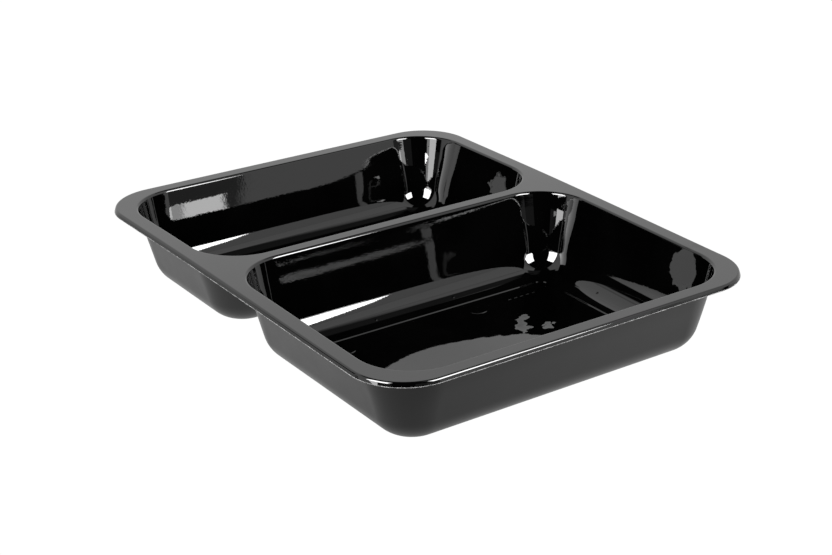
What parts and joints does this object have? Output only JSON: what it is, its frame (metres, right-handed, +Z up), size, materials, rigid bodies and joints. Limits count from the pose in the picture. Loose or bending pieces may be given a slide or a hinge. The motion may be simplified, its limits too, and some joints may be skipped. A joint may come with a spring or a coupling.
{
  "type": "two-compartment food tray",
  "caption": "Shallow black thermoformed food tray with a flat rim, a narrow divider and a larger and a smaller compartment with sloping walls.",
  "frame": {"origin": "middle of the footprint, on the surface the tray stands on", "axes": "+X along the tray, across the divider, towards the larger compartment; +Y along the divider; +Z up"},
  "size_m": [0.227, 0.178, 0.0356],
  "materials": {
    "tray_plastic": "glossy black inside and on the rim, satin underneath"
  },
  "bodies": {
    "root": {"tray": "tray_plastic"}
  },
  "joints": []
}
